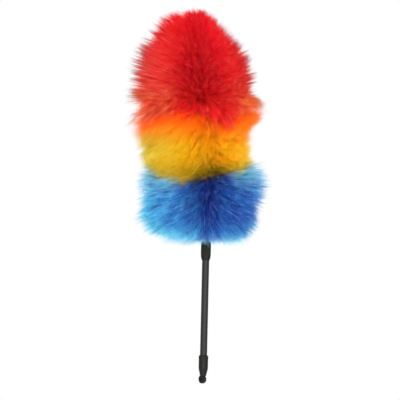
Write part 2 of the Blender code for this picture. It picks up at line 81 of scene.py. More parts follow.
# Low end and length of each section, and its outline: rise, and reach on the fuller and the slimmer side,
# as shares of the section's length and of the greatest reaches
SECTIONS = {
    "blue": (0.1175, 0.0880, [
        (-0.20, 0.13, 0.13),
        (-0.165, 0.59, 0.60),
        (-0.045, 0.82, 0.76),
        (0.10, 0.89, 0.84),
        (0.24, 0.98, 0.87),
        (0.45, 0.95, 0.93),
        (0.60, 0.935, 1.04),
        (0.78, 0.93, 1.065),
        (1.01, 0.88, 0.95),
    ]),
    "yellow": (0.2058, 0.0925, [
        (0.01, 0.88, 0.83),
        (0.22, 0.90, 0.79),
        (0.42, 0.89, 0.775),
        (0.74, 0.97, 0.80),
        (0.86, 1.015, 0.945),
        (0.99, 1.03, 0.985),
    ]),
    "red": (0.2986, 0.1630, [
        (-0.015, 1.025, 0.985),
        (0.12, 1.00, 0.975),
        (0.29, 0.99, 0.87),
        (0.50, 0.96, 0.85),
        (0.60, 0.91, 0.82),
        (0.70, 0.84, 0.75),
        (0.80, 0.74, 0.63),
        (0.90, 0.66, 0.48),
        (0.99, 0.58, 0.34),
        (1.05, 0.46, 0.23),
        (1.09, 0.32, 0.12),
        (1.11, 0.08, 0.03),
    ]),
}
OUTLINE_SAMPLES = 400
STRAND_RISE_POWER = 1.25  # how late along a strand its rise to the tip's height comes

# Rise of the tips where two colours meet, by the turn in degrees
LOWER_BORDER = [
    (-180, 0.018),
    (-130, 0.028),
    (-95, 0.022),
    (-75, 0.013),
    (-55, 0.001),
    (-35, -0.007),
    (-22, -0.010),
    (-10, -0.003),
    (4, 0.004),
    (24, 0.009),
    (48, 0.013),
    (70, 0.018),
    (90, 0.026),
    (130, 0.030),
    (180, 0.018),
]
UPPER_BORDER = [
    (-180, 0.012),
    (-140, 0.032),
    (-112, 0.034),
    (-98, 0.028),
    (-87, -0.018),
    (-76, -0.026),
    (-60, -0.021),
    (-44, -0.012),
    (-26, -0.005),
    (-6, 0.000),
    (6, -0.005),
    (18, -0.019),
    (27, -0.021),
    (38, -0.004),
    (60, 0.008),
    (90, 0.018),
    (135, 0.028),
    (180, 0.012),
]
BORDER_REACH = 0.055  # how far from a border the sweep dies out
# Shares where a section meets another, far past its end where it meets none
BORDER_ENDS = {"blue": (-9.0, 1.0), "yellow": (0.0, 1.0), "red": (0.0, 9.0)}
BORDER_WIDTH = 0.010  # where the fibres of two colours mix

# Fibres: how many, how thin, and the pieces that they are gathered in
WISPS = {"blue": 2100, "yellow": 1600, "red": 3400}
FIBRES_IN_WISP = 11
FILL_FIBRES = {"blue": 20000, "yellow": 25000, "red": 27000}
FIBRE_R = 0.00013
FIBRE_R_VARIES = (0.75, 1.3)
FIBRE_STEPS = 6
TAPER_POWER = 0.33
PIECE_FIBRES = 6500
SEEDS = {"blue": 11, "yellow": 12, "red": 13}

# Roots, and how the places on the outside stray from an even spread
ROOT_SHARE = 0.34  # place along a strand where the fibre starts
ROOT_STRAY = (0.006, 0.05)  # in share, and in turn
WISP_SHARE_STRAY = 0.02
CELL_SPREAD = 0.5  # of a wisp's fibres, and of the fill, in the widths of a wisp
CELL_EDGE = 1.4

# How the wisps draw together: the width left of a tight and of a loose wisp, and the share of tight ones
WISP_CLOSING = {"blue": (0.12, 0.50), "yellow": (0.20, 0.70), "red": (0.08, 0.45)}
TIGHT_WISPS = 0.5
CLOSING_VARIES = (0.7, 1.3)
WISP_CLOSED = 0.74  # place along the strands where a wisp has drawn together
FILL_CLOSED = 1.0
FRONT_LOOSER = {"blue": 0.62, "yellow": 0.9, "red": 0.9}  # how much less they draw together at the front
LOCK_WISPS = 5  # wisps that lean together in a lock
LOCK_PULL = {"blue": 0.5, "yellow": 0.25, "red": 0.6}  # of the way to the lock's middle
LEAST_REACH = 0.02  # taken for wisps nearer the core, so that they don't spread round it

# How the tips stray from straight out, by smooth swells over the head and each by itself
TIP_BEND_POWER = 1.3
FRONT_STRAYS_LESS = 0.5
SWELL_SWEEP = 0.4
SWIRL_TURN = 0.08
WISP_STRAY = (0.6, 0.07)  # in share by the width of a wisp, and in turn
FILL_STRAY = (1.2, 0.13)
SWELL_WAVES = 7
SWELL_ALONG = 3.0
SWELL_AROUND = 4

# How long they are, as shares of the way to the outline
WISP_LENGTH = 0.97
WISP_UNEVEN = {"blue": 0.07, "yellow": 0.06, "red": 0.085}
WISP_LONGEST = {"blue": 0.85, "yellow": 1.35, "red": 1.15}
WISP_SHORTEST = -1.6
LOCK_UNEVEN = 0.8
OWN_UNEVEN = 0.6
FRONT_EVENER = {"blue": 0.6, "yellow": 0.9, "red": 0.9}
FRILL = {"blue": 2.4, "yellow": 0.0, "red": 0.0}  # more unevenness towards the low end
FRILL_SPAN = 0.4
FRILL_AT_FRONT = 3
WISP_ROUNDED = 0.03
WISP_ROUNDED_POWER = 1.5
FIBRE_SHORTER = 0.07
FIBRE_SHORTER_POWER = 1.3
FILL_REACH = {"blue": 0.955, "yellow": 0.975, "red": 0.95}
FILL_DEPTH = 0.26
OPEN_ENDS = {"blue": 1.0, "yellow": 0.0, "red": 1.0}  # sections with an end that meets no other
OPEN_END_FROM = (0.16, 0.80)
OPEN_END_SPAN = 0.16
OPEN_END_SHORTER = 0.17

# How they hang and wave: height of their arch and the share of the section where it has died out, crimp
DROOP = {"blue": (0.003, 9.0), "yellow": (0.012, 9.0), "red": (0.021, 0.20)}
YELLOW_DROOP_SLANT = 0.6
YELLOW_LOW_DROOP = (0.25, 0.35)  # share of the arch at the low end, and the share where it is whole
WISP_CRIMP = 0.0006
FILL_CRIMP = 0.0012
CRIMP_WAVES = (3.0, 8.0)
CRIMP_START = 4  # the crimp is whole after a quarter of the fibre

# Combing: turn of the tips, by the turn of the root in degrees. The partings are alike at front and back.
YELLOW_COMBING = [
    (-180, -0.05),
    (-100, -0.08),
    (-50, -0.20),
    (-28, -0.19),
    (50, 0.08),
    (75, 0.09),
    (110, 0),
    (180, -0.05),
]
YELLOW_SLANT = 0.017  # rise of the tips towards the slimmer side, most in the middle of the section
NARROW_PARTING = [(0, 0.0), (8, 0.13), (20, 0.26), (45, 0.30), (70, 0.16), (90, 0.0)]
WIDE_PARTING = [(0, 0.0), (16, 0.03), (30, 0.12), (50, 0.28), (68, 0.24), (90, 0.0)]
RED_LOW_COMBING = 0.2
RED_WIDE_FROM = 0.16
RED_WIDE_SPAN = 0.2
RED_COMBED_TO = 1.02
RED_COMBED_SPAN = 0.2
PARTING_TURN = {"blue": (4, 4), "yellow": (8, 8), "red": (-9, 0)}  # in degrees, at the low and the high end
PARTING_START = {"blue": 0.0, "yellow": 0.1, "red": 0.20}
PARTING_START_SPAN = 0.12
PARTING_END = {"blue": 2.0, "yellow": 2.0, "red": 1.04}
PARTING_END_SPAN = 0.15
PARTING_HALF = {"blue": 0.17, "yellow": 0.50, "red": 0.40}  # half-width of its strip, in radians
PARTING_SHORTER = {"blue": 0.06, "yellow": 0.0, "red": 0.08}

# Tone: from deep at the root to pale at the tip, by the place and by the distance from the core: painted
# shade deep inside the pile and painted sheen at the tips
TONE_BY_PLACE = 0.35
# painted shade: fibres in the partings are made deeper in tone
PARTING_PAINTED_SHADE = {"blue": 0.08, "yellow": 0.08, "red": 0.10}
# painted shade on the slimmer side, and painted light on the fuller side, as from a light on the fuller
# side
SLIMMER_SIDE_PAINTED_SHADE = {"blue": 0.05, "yellow": 0.0, "red": 0.02}
FULLER_SIDE_PAINTED_LIGHT = 0.2
# painted shade: deeper tone at the front, where the fibres are seen end-on
FRONT_PAINTED_SHADE = {"blue": 0.09, "yellow": 0.02, "red": 0.0}
# painted shade: deeper tone at the front of the low end of a section
LOW_FRONT_PAINTED_SHADE = {"blue": 0.24, "yellow": 0.0, "red": 0.05}
LOW_FRONT_HALF = {"blue": 0.13, "yellow": 1.0, "red": 0.55}
LOW_FRONT_SPAN = 0.35
# How much paler the low end is, as painted light on its shaded underside, and the share of the section
# where that ends
LOW_END_PAINTED_LIGHT = {"blue": (0.48, 0.60), "yellow": (0.0, 0.25), "red": (0.04, 0.25)}
LOW_END_MOST = 1.5
# painted light: roots are lifted towards the tone of their tips to fill the shade between the fibres, most
# at the front
FRONT_PAINTED_FILL_LIGHT = {"blue": 0.85, "yellow": 1.0, "red": 0.9}  # roots drawn towards the tone of their tips
ROUND_PAINTED_FILL_LIGHT = {"blue": 0.1, "yellow": 0.7, "red": 0.4}  # as a share of the lift at the front
LIFT_BELOW_TIP = 0.12
TONE_TOP = 1.03

# Map of the fibres: limits of U along them and at their tips, and V of the corners in the width of a fibre
MAP_U = (0.002, 0.99)
MAP_U_TIP = (0.002, 0.998)
MAP_V = [0.1, 0.5, 0.9]
MAP_V_TIP = 0.5

# Colours along the fibres, by their tone: the fibres' own hues, darkened towards the inside as painted
# shade and paled at the tips as painted sheen
FIBRE_COLOURS = {
    "red": [
        (0.00, (0.78, 0.001, 0.013)),
        (0.25, (0.82, 0.004, 0.014)),
        (0.50, (0.83, 0.018, 0.018)),
        (0.78, (0.80, 0.090, 0.068)),
        (1.00, (0.78, 0.270, 0.220)),
    ],
    "yellow": [
        (0.00, (1.00, 0.410, 0.000)),
        (0.28, (0.99, 0.550, 0.000)),
        (0.55, (0.88, 0.665, 0.012)),
        (0.76, (0.85, 0.740, 0.085)),
        (1.00, (0.92, 0.880, 0.400)),
    ],
    "blue": [
        (0.00, (0.004, 0.016, 0.310)),
        (0.26, (0.010, 0.056, 0.460)),
        (0.50, (0.036, 0.230, 0.630)),
        (0.70, (0.100, 0.570, 0.800)),
        (0.93, (0.280, 0.830, 0.930)),
    ],
}
# Streaks: how far clouds and single strands shift the tone, and the sizes of their noise
STREAKS = {"blue": 0.42, "yellow": 0.3, "red": 0.27}
STREAK_MIDDLE = 1.1
CLOUD_SCALE = 55
STRAND_SCALE = 420
# Second tones by height: the tone, where it is full, where it ends, and its most
BORDER_TONES_AND_SHADE = {
    "yellow": [
        # painted shade: olive darkening at the low edge of the yellow
        ((0.62, 0.40, 0.010), 0.212, 0.238, 0.70),
        ((1.00, 0.220, 0.001), 0.300, 0.248, 0.88),
    ],
}
# Places round the core: aside from the front in degrees, and the cosine of the turn from there where a
# blend has no weight, and where it has its full weight
BLEND_PLACES = {
    "spine": (0, 0.86, 0.985),
    "patch": (-9, 0.84, 0.985),
    "front": (0, 0.76, 0.92),
    "sides": (0, 0.92, 0.76),
}
# Blends along the core: the tone, the share of the fibres where it is full, where it ends, most and place
BLENDS_AND_PAINTED_LIGHT = {
    "blue": [
        # painted shade: dark spine at the top front of the blue
        ((0.010, 0.030, 0.090), 1.0, 0.90, 0.80, "spine"),
        # painted sheen: paler sides at the top of the blue
        ((0.240, 0.620, 0.710), 1.0, 0.74, 0.85, "sides"),
    ],
    "yellow": [
        # painted shade: darker front at the low end of the yellow
        ((0.110, 0.120, 0.020), 0.0, 0.12, 0.75, "spine"),
        # painted shade: olive sides at the low end of the yellow
        ((0.400, 0.500, 0.080), 0.0, 0.14, 0.50, "sides"),
        ((0.98, 0.120, 0.002), 1.0, 0.885, 0.85, "all"),
    ],
    "red": [
        # painted shade: crimson patch at the front of the red
        ((0.78, 0.003, 0.018), 0.66, 0.90, 0.80, "patch"),
        # painted light: brighter red at the front of the red's low part
        ((0.86, 0.016, 0.018), 0.18, 0.38, 1.0, "patch"),
        ((0.95, 0.120, 0.003), 0.0, 0.025, 0.50, "front"),
        ((0.95, 0.130, 0.004), 0.0, 0.085, 0.55, "sides"),
    ],
}
# Tips in a tone of their own, painted light that makes them paler or warmer: the tone, the place along the
# fibre where it starts, its most, the shares of the fibres along the core where it has no weight and all of
# it, and its place round the core
SIDE_TIPS_PAINTED_LIGHT = {
    "blue": ((0.50, 0.83, 0.94), 0.74, 0.95, (0.30, 0.08), "all"),
    "red": ((0.96, 0.42, 0.045), 0.74, 0.85, (0.42, 0.14), "sides"),
    "yellow": ((0.95, 0.86, 0.42), 0.86, 0.60, (0.85, 0.50), "sides"),
}
# Dusky tips on some wisps: the tone, the place where it starts, its most, scale and limits of the choice
DUSKY_TIPS = {"red": ((0.050, 0.010, 0.022), 0.80, 0.95, 300, (0.46, 0.58))}
# Single fibres turned pale as painted glints among the rest: their tone, its most, and scale and limits of
# the choice
PAINTED_GLINT_FIBRES = {"red": (0.90, 0.42, 0.40), "yellow": (0.98, 0.80, 0.16), "blue": (0.62, 0.86, 0.95)}
PAINTED_GLINT_MOST = {"blue": 0.6, "yellow": 0.5, "red": 0.42}
PAINTED_GLINT_SCALE = 2600
PAINTED_GLINT_RANGE = (0.69, 0.82)
TRANSLUCENT = {"blue": 0.55, "yellow": 0.60, "red": 0.58}
FIBRE_GLOSS = {"blue": 0.25, "yellow": 0.12, "red": 0.20}
FIBRE_ROUGHNESS = 0.42

# Backing, the dense inside of a section
BACKING_SHARE = 0.40
BACKING_ROUGH = 0.012
BACKING_AROUND = 96
BACKING_ROWS = 40
BACKING_SCALE = 160
# painted shade: the backing is darker than the roots of the fibres
BACKING_PAINTED_SHADE = 0.6
BACKING_STOPS = (0.35, 0.7)
BACKING_ROUGHNESS = 0.8

# Handle: colour, roughness, size of the grain, and whether it is metal
FINISHES = {
    "satin_black_plastic": ((0.0030, 0.0028, 0.0022), 0.58, 900, 0.0),
    "painted_tube": ((0.0075, 0.0073, 0.0070), 0.5, 500, 0.0),
    "natural_nylon": ((0.62, 0.61, 0.56), 0.5, 900, 0.0),
    "galvanised_steel": ((0.55, 0.56, 0.57), 0.35, 900, 1.0),
    "red_plastic": ((0.55, 0.02, 0.02), 0.4, 900, 0.0),
}
FINISHED_NODES = {
    "satin_black_plastic": ["lock_ferrule", "lock_nut", "end_cap", "hang_eye", "head_socket"],
    "painted_tube": ["outer_tube", "inner_tube"],
    "natural_nylon": ["slide_bush"],
    "galvanised_steel": ["core_wire"],
    "red_plastic": ["tip_cap"],
}
GRAIN_DARKER = 0.8
GRAIN_LIGHTER = 1.25
GRAIN_STOPS = (0.3, 0.7)
GRAIN_ROUGHNESS = 0.06
GRAIN_BUMP = (0.15, 0.0001)  # strength and height
HANDLE_GLOSS = 0.12


def smooth(share):
    """A share that starts and ends gently."""
    return share * share * (3 - 2 * share)


def outline(section):
    """Shares of the length of a section's outline, its heights and reaches there, and its length."""
    low, length, stations = section
    points = np.array([
        (low + length * rise, FULLER_REACH * full, SLIMMER_REACH * slim) for rise, full, slim in stations
    ])
    steps = np.hypot(np.diff(points[:, 0]), np.diff(points[:, 1]))
    shares = np.concatenate([[0.0], np.cumsum(steps)])
    return shares / shares[-1], points, shares[-1]


def border_sweep(height, azimuth):
    """How far the tips at a height are swept up or down, so that the borders between colours wave."""
    turn = np.degrees(azimuth - FRONT_TURN)
    turn = (turn + 180) % 360 - 180
    total = 0.0
    for above, table in (("yellow", LOWER_BORDER), ("red", UPPER_BORDER)):
        angles, rises = np.array(table).T
        rise = np.interp(turn, angles, rises)
        near = np.clip(1 - np.abs(height - SECTIONS[above][0]) / BORDER_REACH, 0, 1)
        total = total + rise * near * near * (3 - 2 * near)
    return total


def drift(height):
    """Sideways lean of the core at a height."""
    share = np.clip((height - SOCKET_TOP_Z) / (TIP_TOP_Z - SOCKET_TOP_Z), 0, None)
    return CORE_DRIFT * share**DRIFT_POWER


def along_strand(section, share, azimuth, along):
    """Points at places along the strands that leave the core at shares of the section's length."""
    shares, points, _ = outline(section)
    low, length, _ = section
    inside = np.clip(share, 0, 1)
    tip = np.interp(inside, shares, points[:, 0]) + (share - inside) * length
    fuller = np.interp(inside, shares, points[:, 1])
    slimmer = np.interp(inside, shares, points[:, 2])
    lopsided = np.cos(azimuth - FULLER_TURN)
    reach = ((fuller + slimmer) + (fuller - slimmer) * lopsided) / 2
    core = low + length * share
    tip = tip + border_sweep(tip, azimuth)
    height = core + (tip - core) * along**STRAND_RISE_POWER
    lean = drift(height)
    x = np.cos(azimuth) * reach * along + math.cos(FULLER_TURN) * lean
    y = np.sin(azimuth) * reach * along + math.sin(FULLER_TURN) * lean
    return np.stack([x, y, height], axis=-1)


def even_roots(section, count, chance):
    """Shares and azimuths of roots, spread evenly over the section's outside by the golden angle."""
    shares, points, _ = outline(section)
    fine = np.linspace(0, 1, OUTLINE_SAMPLES)
    reach = np.interp(fine, shares, (points[:, 1] + points[:, 2]) / 2)
    weight = np.concatenate([[0.0], np.cumsum((reach[1:] + reach[:-1]) / 2)])
    weight /= weight[-1]
    order = (np.arange(count) + 0.5) / count
    share_stray, turn_stray = ROOT_STRAY
    share = np.interp(order, weight, fine) + chance.normal(0, share_stray, count)
    azimuth = np.arange(count) * math.pi * (3 - math.sqrt(5)) + chance.normal(0, turn_stray, count)
    return share, azimuth % math.tau


def parting_turn(colour, share):
    """Turn of a section's parting from the front, which may slant along the core."""
    low, high = PARTING_TURN[colour]
    return np.radians(low + (high - low) * np.clip(share, 0, 1))


def combing(colour, share, azimuth):
    """How far the tips are combed round, and how far they rise with it."""
    turn = (azimuth - FRONT_TURN - parting_turn(colour, share) + math.pi) % math.tau - math.pi
    if colour == "yellow":
        combed = np.interp(np.degrees(turn), *np.array(YELLOW_COMBING).T)
        return combed, YELLOW_SLANT * np.sin(turn) * 4 * np.clip(share * (1 - share), 0, 0.25)
    away = np.degrees(np.minimum(np.abs(turn), math.pi - np.abs(turn)))
    narrow = np.interp(away, *np.array(NARROW_PARTING).T)
    side = np.sign(np.sin(2 * turn))
    if colour == "red":
        wide = np.interp(away, *np.array(WIDE_PARTING).T)
        narrow = narrow * RED_LOW_COMBING
        narrow = narrow + (wide - narrow) * np.clip((share - RED_WIDE_FROM) / RED_WIDE_SPAN, 0, 1)
        side = side * np.clip((RED_COMBED_TO - share) / RED_COMBED_SPAN, 0, 1)
    return side * narrow, np.zeros_like(share)


def parting(colour, share, azimuth):
    """How near a fibre is to the middle of a parting, from 0 to 1."""
    turn = (azimuth - FRONT_TURN - parting_turn(colour, share) + math.pi / 2) % math.pi - math.pi / 2
    rise = np.clip((share - PARTING_START[colour]) / PARTING_START_SPAN, 0, 1)
    end = np.clip((PARTING_END[colour] - share) / PARTING_END_SPAN, 0, 1)
    return np.exp(-((turn / PARTING_HALF[colour]) ** 2)) * rise * end


def smooth_field(share, azimuth, chance):
    """A smooth random swell over the head, about -1 to 1."""
    total = np.zeros_like(share)
    for _ in range(SWELL_WAVES):
        turn = chance.integers(1, SWELL_AROUND + 1)
        rise = chance.uniform(-SWELL_ALONG, SWELL_ALONG) * math.tau
        total += np.sin(turn * azimuth + rise * share + chance.uniform(0, math.tau))
    return total / math.sqrt(SWELL_WAVES)


def tones(colour, root_share, root_turn, tip_share, turn, place, distance):
    """Tone at each point of the fibres: painted shade deeper in the partings, at the front and on the
    slimmer side, painted light paler at the low end and over the shaded roots.
    """
    from_front = turn - FRONT_TURN
    # painted shade and sheen: the tone grows with the distance from the core
    tone = TONE_BY_PLACE * place + (1 - TONE_BY_PLACE) * distance
    # painted shade in the partings
    tone = tone - (PARTING_PAINTED_SHADE[colour] * parting(colour, root_share, root_turn))[:, None]
    # painted shade on the slimmer side, painted light on the fuller side
    tone = tone - SLIMMER_SIDE_PAINTED_SHADE[colour] * np.clip(np.sin(from_front), -FULLER_SIDE_PAINTED_LIGHT, 1)
    # painted shade at the front
    tone = tone - FRONT_PAINTED_SHADE[colour] * np.clip(np.cos(from_front), 0, 1) ** 2
    low_front = np.exp(-(((from_front + math.pi) % math.tau - math.pi) / LOW_FRONT_HALF[colour]) ** 2)
    low_end = np.clip(1 - tip_share[:, None] / LOW_FRONT_SPAN, 0, 1)
    # painted shade at the front of the low end
    tone = tone - LOW_FRONT_PAINTED_SHADE[colour] * low_front * low_end
    # painted light over the shaded roots
    facing = np.clip(np.cos(from_front), 0, 1) ** 3
    facing = ROUND_PAINTED_FILL_LIGHT[colour] + (1 - ROUND_PAINTED_FILL_LIGHT[colour]) * facing
    tone = tone + FRONT_PAINTED_FILL_LIGHT[colour] * facing * np.clip(tone[:, -1:] - LIFT_BELOW_TIP - tone, 0, None)
    # painted light: the shaded low end is made paler
    paler, span = LOW_END_PAINTED_LIGHT[colour]
    return tone + paler * np.clip(1 - tip_share[:, None] / span, 0, LOW_END_MOST)


def bent_paths(colour, roots, tips, reach, chance, crimp_size, closed, closed_by):
    """Fibres that start at their roots, draw together and bend to the place of their tips.

    Gives the points, the tone and the place along the strand at each step.
    """
    section = SECTIONS[colour]
    root_share, root_turn = roots
    tip_share, tip_turn = tips
    count = len(root_share)
    t = np.linspace(0, 1, FIBRE_STEPS)[None, :]
    place = ROOT_SHARE + (reach[:, None] - ROOT_SHARE) * t
    bend = np.clip((place - ROOT_SHARE) / (1 - ROOT_SHARE), 0, None) ** TIP_BEND_POWER
    near = smooth(np.clip((place - ROOT_SHARE) / (closed_by - ROOT_SHARE), 0, 1))
    share = root_share[:, None] + closed[0][:, None] * near + (tip_share - root_share)[:, None] * bend
    turn = root_turn[:, None] + closed[1][:, None] * near + (tip_turn - root_turn)[:, None] * bend
    path = along_strand(section, share, turn, place)
    arch, arched = DROOP[colour]
    if colour == "yellow":
        slanted = 1 - YELLOW_DROOP_SLANT * np.sin(root_turn - FRONT_TURN)
        least, whole_from = YELLOW_LOW_DROOP
        arch = arch * (slanted * (least + (1 - least) * np.clip(tip_share / whole_from, 0, 1)))[:, None]
    path[..., 2] += arch * np.sin(math.pi * t) * np.clip(1 - tip_share[:, None] / arched, 0, 1)
    waves = chance.uniform(*CRIMP_WAVES, (count, 1, 3))
    phase = chance.uniform(0, math.tau, (count, 1, 3))
    crimp = crimp_size * place[..., None] * np.sin(waves * t[..., None] + phase)
    core = along_strand(section, root_share[:, None], root_turn[:, None], np.zeros((count, 1)))
    distance = np.linalg.norm(path - core, axis=2) / FULLER_REACH
    tone = tones(colour, root_share, root_turn, tip_share, turn, place, distance)
    return path + crimp * np.minimum(CRIMP_START * t[..., None], 1), tone, place


def locks(colour, share, turn, reach, length, chance):
    """The way of each wisp to the middle of its lock, in share and turn, and the lock's own length."""
    count = len(share) // LOCK_WISPS
    lock_share, lock_turn = even_roots(SECTIONS[colour], count, chance)
    lock_long = chance.normal(0, 1, count)
    along = lock_share[None, :] - share[:, None]
    around = (lock_turn[None, :] - turn[:, None] + math.pi) % math.tau - math.pi
    away = (along * length) ** 2 + (around * np.maximum(reach, LEAST_REACH)[:, None]) ** 2
    nearest = np.argmin(away, axis=1)
    rows = np.arange(len(share))
    return (along[rows, nearest], around[rows, nearest]), lock_long[nearest]


def wisp_fibres(colour, chance):
    """Fibres gathered in wisps.

    Gives what bent_paths gives, the order of the fibres along the core, and a wisp's width in share.
    """
    section = SECTIONS[colour]
    shares, points, length = outline(section)
    wisps = WISPS[colour]
    wisp_share, wisp_turn = even_roots(section, wisps, chance)
    wisp_share = np.minimum(wisp_share + chance.normal(0, WISP_SHARE_STRAY, wisps), 1)
    spacing = math.sqrt(length * math.tau * float(np.mean(points[:, 1:])) / wisps)
    cell_share = spacing / length
    local_reach = np.interp(np.clip(wisp_share, 0, 1), shares, points[:, 1:].mean(axis=1))
    cell_turn = spacing / np.maximum(local_reach, LEAST_REACH)
    swell = smooth_field(wisp_share, wisp_turn, chance)
    swirl = smooth_field(wisp_share, wisp_turn, chance)
    comb, rise = combing(colour, wisp_share, wisp_turn)
    loose_front = np.cos(wisp_turn - FRONT_TURN) ** 2

    low_border, high_border = BORDER_ENDS[colour]
    from_border = np.minimum(wisp_share - low_border, high_border - wisp_share) * length
    straying = 1 - FRONT_STRAYS_LESS * loose_front + np.exp(-((from_border / BORDER_WIDTH) ** 2))
    share_stray, turn_stray = WISP_STRAY
    strayed = SWELL_SWEEP * swell + share_stray * straying * chance.normal(0, 1, wisps)
    sweep_share = rise / section[1] + cell_share * strayed
    sweep_turn = SWIRL_TURN * swirl + turn_stray * straying * chance.normal(0, 1, wisps) + comb
    pull, lock_long = locks(colour, wisp_share, wisp_turn, local_reach, length, chance)
    apart_front = LOCK_PULL[colour] * (1 - loose_front)
    sweep_share = sweep_share + apart_front * pull[0]
    sweep_turn = sweep_turn + apart_front * pull[1]

    frilled = FRILL[colour] * np.clip(1 - wisp_share / FRILL_SPAN, 0, 1)
    evener = FRONT_EVENER[colour] * loose_front / (1 + FRILL_AT_FRONT * frilled)
    uneven = WISP_UNEVEN[colour] * (1 - evener) * (1 + frilled)
    longer = LOCK_UNEVEN * lock_long + OWN_UNEVEN * chance.normal(0, 1, wisps)
    wisp_long = WISP_LENGTH + uneven * longer.clip(WISP_SHORTEST, WISP_LONGEST[colour])

    which = np.repeat(np.arange(wisps), FIBRES_IN_WISP)
    count = len(which)
    a = chance.normal(0, CELL_SPREAD, count).clip(-CELL_EDGE, CELL_EDGE)
    b = chance.normal(0, CELL_SPREAD, count).clip(-CELL_EDGE, CELL_EDGE)
    apart = np.hypot(a, b)
    tight, loose = WISP_CLOSING[colour]
    closing = np.where(chance.random(wisps) < TIGHT_WISPS, tight, loose)
    closing = closing + (1 - closing) * FRONT_LOOSER[colour] * loose_front
    closing = closing[which] * chance.uniform(*CLOSING_VARIES, count)
    root_share = wisp_share[which] + a * cell_share
    root_turn = wisp_turn[which] + b * cell_turn[which]
    closed = (a * cell_share * (closing - 1), b * cell_turn[which] * (closing - 1))
    tips = (root_share + sweep_share[which], root_turn + sweep_turn[which])
    rounded = WISP_ROUNDED * apart**WISP_ROUNDED_POWER
    reach = wisp_long[which] * (1 - rounded - FIBRE_SHORTER * chance.random(count) ** FIBRE_SHORTER_POWER)
    reach = reach * (1 - PARTING_SHORTER[colour] * parting(colour, root_share, root_turn))
    roots = (root_share, root_turn)
    made = bent_paths(colour, roots, tips, reach, chance, WISP_CRIMP, closed, WISP_CLOSED)
    return made, wisp_share[which], cell_share


def fill_fibres(colour, cell_share, chance):
    """Single fibres between the wisps: what bent_paths gives, and their order along the core."""
    section = SECTIONS[colour]
    count = FILL_FIBRES[colour]
    share, turn = even_roots(section, count, chance)
    share = share + chance.normal(0, CELL_SPREAD, count) * cell_share
    swell = smooth_field(share, turn, chance)
    comb, rise = combing(colour, share, turn)
    share_stray, turn_stray = FILL_STRAY
    strayed = SWELL_SWEEP * swell + share_stray * chance.normal(0, 1, count)
    tip_share = share + rise / section[1] + cell_share * strayed
    tip_turn = turn + turn_stray * chance.normal(0, 1, count) + comb
    low_end, high_end = OPEN_END_FROM
    past_end = np.maximum(low_end - share, share - high_end) / OPEN_END_SPAN
    near_end = np.clip(past_end, 0, 1) * OPEN_ENDS[colour]
    depth = FILL_DEPTH * (1 - FRONT_EVENER[colour] * np.cos(turn - FRONT_TURN) ** 2)
    reach = FILL_REACH[colour] - OPEN_END_SHORTER * near_end - depth * chance.random(count)
    reach = reach * (1 - PARTING_SHORTER[colour] * parting(colour, share, turn))
    closed = (np.zeros(count), np.zeros(count))
    tips = (tip_share, tip_turn)
    made = bent_paths(colour, (share, turn), tips, reach, chance, FILL_CRIMP, closed, FILL_CLOSED)
    return made, share


def fibre_paths(colour, chance):
    """Points of every fibre of a section, (fibres, steps, 3), and the tone and the place at each point."""
    wisps, wisp_order, cell_share = wisp_fibres(colour, chance)
    fill, fill_order = fill_fibres(colour, cell_share, chance)
    order = np.argsort(np.concatenate([wisp_order, fill_order]), kind="stable")
    return [np.concatenate([gathered, single])[order] for gathered, single in zip(wisps, fill)]


def fibre_rings(path, radius):
    """Corners of tapered three-sided fibres along the paths, three at each step and one at the tip."""
    count, steps, _ = path.shape
    tangent = np.gradient(path, axis=1)
    tangent /= np.linalg.norm(tangent, axis=2, keepdims=True)
    side = np.cross(tangent, np.array([0.0, 0.0, 1.0]))
    side /= np.linalg.norm(side, axis=2, keepdims=True)
    over = np.cross(side, tangent)
    taper = np.linspace(1, 0, steps) ** TAPER_POWER
    rings = []
    for k in range(3):
        angle = math.tau * k / 3
        arm = math.cos(angle) * side + math.sin(angle) * over
        rings.append(path[:, :-1] + arm[:, :-1] * (radius[:, None] * taper[None, :-1])[..., None])
    body = np.stack(rings, axis=2).reshape(count, (steps - 1) * 3, 3)
    return np.concatenate([body, path[:, -1:, :]], axis=1)


def fibre_faces(count, steps):
    """Corners of every face of the fibres, one after another, and the number of corners of each face."""
    per = (steps - 1) * 3 + 1
    quads, tris = [], []
    for s in range(steps - 2):
        for k in range(3):
            j = (k + 1) % 3
            quads.append((s * 3 + k, s * 3 + j, s * 3 + 3 + j, s * 3 + 3 + k))
    last = (steps - 2) * 3
    for k in range(3):
        tris.append((last + k, last + (k + 1) % 3, per - 1))
    starts = np.arange(count)[:, None, None] * per
    quad_loops = (np.array(quads)[None] + starts).reshape(count, -1)
    tri_loops = (np.array(tris)[None] + starts).reshape(count, -1)
    loops = np.concatenate([quad_loops, tri_loops], axis=1).ravel()
    sizes = np.tile(np.concatenate([np.full(len(quads), 4), np.full(len(tris), 3)]), count)
    return loops, sizes


def fibre_map(tone):
    """Map of the fibres' corners: U is the tone, and V tells the fibres apart."""
    count, steps = tone.shape
    u_ring = np.clip((tone[:, :-1] - ROOT_SHARE) / (TONE_TOP - ROOT_SHARE), *MAP_U)
    u_tip = np.clip((tone[:, -1] - ROOT_SHARE) / (TONE_TOP - ROOT_SHARE), *MAP_U_TIP)
    u = np.concatenate([np.repeat(u_ring, 3, axis=1), u_tip[:, None]], axis=1)
    width = 1.0 / count
    v_low = (np.arange(count) * width)[:, None]
    corner_v = np.tile(MAP_V, steps - 1)
    v = np.concatenate([v_low + width * corner_v[None, :], v_low + width * MAP_V_TIP], axis=1)
    return np.stack([u.ravel(), v.ravel()], axis=-1)


